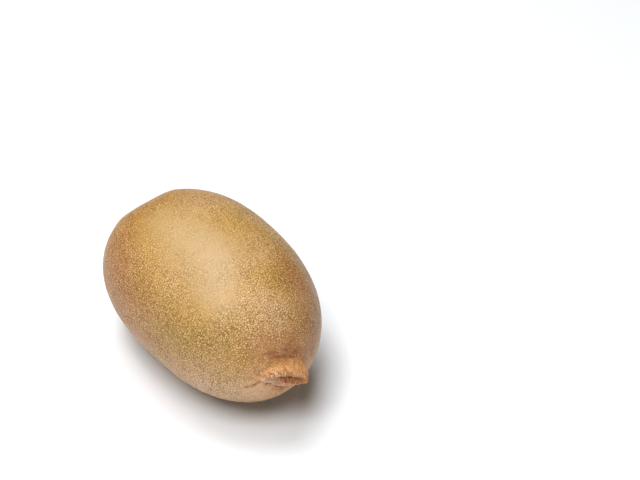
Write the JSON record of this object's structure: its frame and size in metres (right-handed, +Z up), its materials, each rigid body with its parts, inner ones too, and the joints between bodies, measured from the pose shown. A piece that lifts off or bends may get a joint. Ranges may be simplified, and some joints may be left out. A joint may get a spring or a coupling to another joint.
{
  "type": "golden kiwi fruit",
  "caption": "Whole golden kiwi fruit lying on its side: an egg-shaped body with a corky stem scar at the blunt end and a short, broad, crooked beak at the blossom end.",
  "frame": {"origin": "on the table under the middle of the fruit's length and width as it lies on its side", "axes": "+X along the fruit from the stem end to the beak, +Y across the fruit, +Z up from the spot it rests on"},
  "size_m": [0.0776, 0.05, 0.0473],
  "materials": {
    "skin": "thin dry skin, golden brown with olive and bronze mottling, close pale dots and a faint short fuzz, low sheen"
  },
  "bodies": {
    "root": {"fruit": "skin"}
  },
  "joints": []
}
